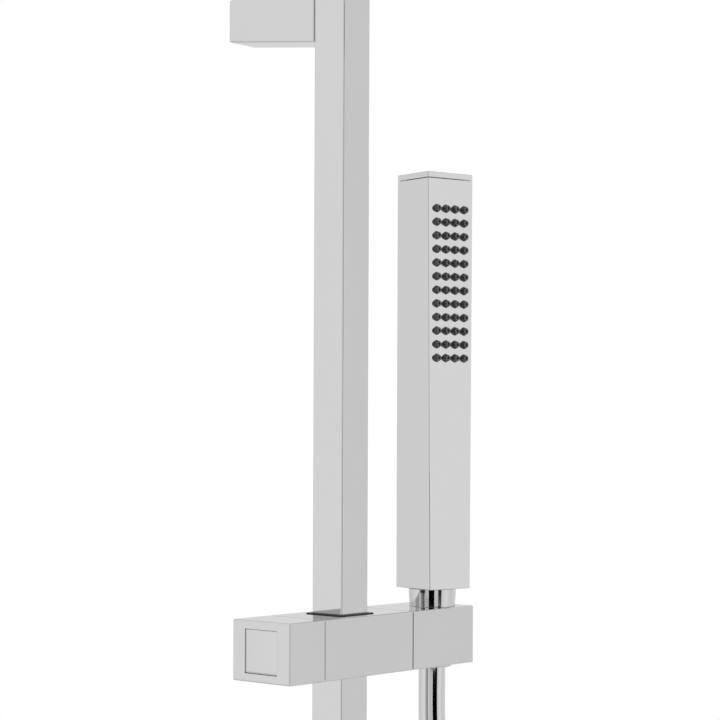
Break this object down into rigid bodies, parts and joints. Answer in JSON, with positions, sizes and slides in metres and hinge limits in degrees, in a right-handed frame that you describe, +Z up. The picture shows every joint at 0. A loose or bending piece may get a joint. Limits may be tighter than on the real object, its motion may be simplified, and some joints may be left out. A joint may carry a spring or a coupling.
{
  "type": "rainfall shower column",
  "caption": "Square chrome shower column: wall bracket, overhead rain head, sliding tilting handset holder with stick handset, hose and thermostatic bar mixer.",
  "frame": {"origin": "centre of the wall bracket's wall face, in the plane of the column's axis", "axes": "+X to the right along the wall, +Y into the wall, +Z up the column"},
  "size_m": [0.2968, 0.52, 1.5748],
  "materials": {
    "chrome": "polished",
    "hose_skin": "polished",
    "brass": "satin",
    "steel": "satin",
    "rubber": "matte",
    "black_plastic": "satin",
    "white_plastic": "satin"
  },
  "bodies": {
    "column": {"riser_column": "chrome", "wall_bracket": "chrome", "bracket_wall_plate": "brass", "bracket_grub_screw": "steel", "bracket_bolt": "steel", "arm_elbow": "chrome", "overhead_arm": "chrome", "arm_end_cap": "chrome", "arm_outlet": "brass", "swivel_nut": "chrome", "ball_seal": "rubber", "riser_collar": "chrome", "riser_tail": "brass", "riser_seal": "rubber", "mixer_body": "chrome", "wall_flange_left": "chrome", "wall_flange_right": "chrome", "union_tail_left": "brass", "union_tail_right": "brass", "union_nut_left": "chrome", "union_nut_right": "chrome", "check_valve_left": "white_plastic", "check_valve_right": "white_plastic", "temperature_cartridge": "white_plastic", "flow_cartridge": "white_plastic", "hose_outlet": "brass", "outlet_nut": "chrome", "outlet_ferrule": "steel", "shower_hose": "hose_skin"},
    "ball": {"swivel_ball": "chrome"},
    "rain_head": {"head_neck": "chrome", "head_shell": "chrome", "head_spray_plate": "chrome", "head_nozzle_mat": "rubber"},
    "slider": {"slider_body": "chrome", "slider_liner": "black_plastic", "clamp_pad": "black_plastic", "friction_washer": "steel"},
    "lock": {"lock_knob": "chrome", "knob_insert": "chrome", "lock_spindle": "brass", "knob_screw": "steel"},
    "holder": {"handset_holder": "chrome", "holder_pivot_bolt": "steel"},
    "hose_end": {"hose_ferrule": "steel"},
    "handset": {"hose_cone": "chrome", "hose_washer": "rubber", "handset_inlet": "brass", "flow_limiter": "white_plastic", "water_tube": "white_plastic", "spray_chamber": "white_plastic", "nozzle_mat": "rubber", "handset_body": "chrome", "handset_cap": "chrome"},
    "temperature_control": {"temperature_handle": "chrome", "temperature_spindle": "brass"},
    "button": {"safety_button": "chrome"},
    "flow_control": {"flow_handle": "chrome", "flow_spindle": "brass"}
  },
  "joints": [
    {"name": "slider_travel", "type": "slide", "parent": "column", "child": "slider", "axis": [0, 0, 1], "range_m": [-0.55, 0.28], "deforming": ["shower_hose"]},
    {"name": "lock_turn", "type": "hinge", "parent": "slider", "child": "lock", "pos_m": [-0.045, -0.07, -0.32], "axis": [1, 0, 0], "range_deg": [-90, 0]},
    {"name": "holder_tilt", "type": "hinge", "parent": "slider", "child": "holder", "pos_m": [0.035, -0.07, -0.32], "axis": [1, 0, 0], "range_deg": [-10, 40], "deforming": ["shower_hose"]},
    {"name": "handset_lift", "type": "slide", "parent": "holder", "child": "hose_end", "axis": [0, 0, 1], "range_m": [0, 0.045], "deforming": ["shower_hose"]},
    {"name": "handset_turn", "type": "hinge", "parent": "hose_end", "child": "handset", "pos_m": [0.0676, -0.075, -0.32], "axis": [0, 0, 1], "continuous": true, "deforming": ["shower_hose"]},
    {"name": "head_tilt_front", "type": "hinge", "parent": "column", "child": "ball", "pos_m": [0, -0.42, 0.086], "axis": [1, 0, 0], "range_deg": [-12, 12]},
    {"name": "head_tilt_side", "type": "hinge", "parent": "ball", "child": "rain_head", "pos_m": [0, -0.42, 0.086], "axis": [0, 1, 0], "range_deg": [-12, 12]},
    {"name": "temperature_turn", "type": "hinge", "parent": "column", "child": "temperature_control", "pos_m": [-0.12, -0.07, -1.08], "axis": [1, 0, 0], "range_deg": [-150, 60]},
    {"name": "safety_button_push", "type": "slide", "parent": "temperature_control", "child": "button", "axis": [0, 0, -1], "range_m": [0, 0.0015], "stiffness_N_per_m": 600, "springref_m": -0.002},
    {"name": "flow_turn", "type": "hinge", "parent": "column", "child": "flow_control", "pos_m": [0.12, -0.07, -1.08], "axis": [1, 0, 0], "range_deg": [-90, 90]}
  ]
}
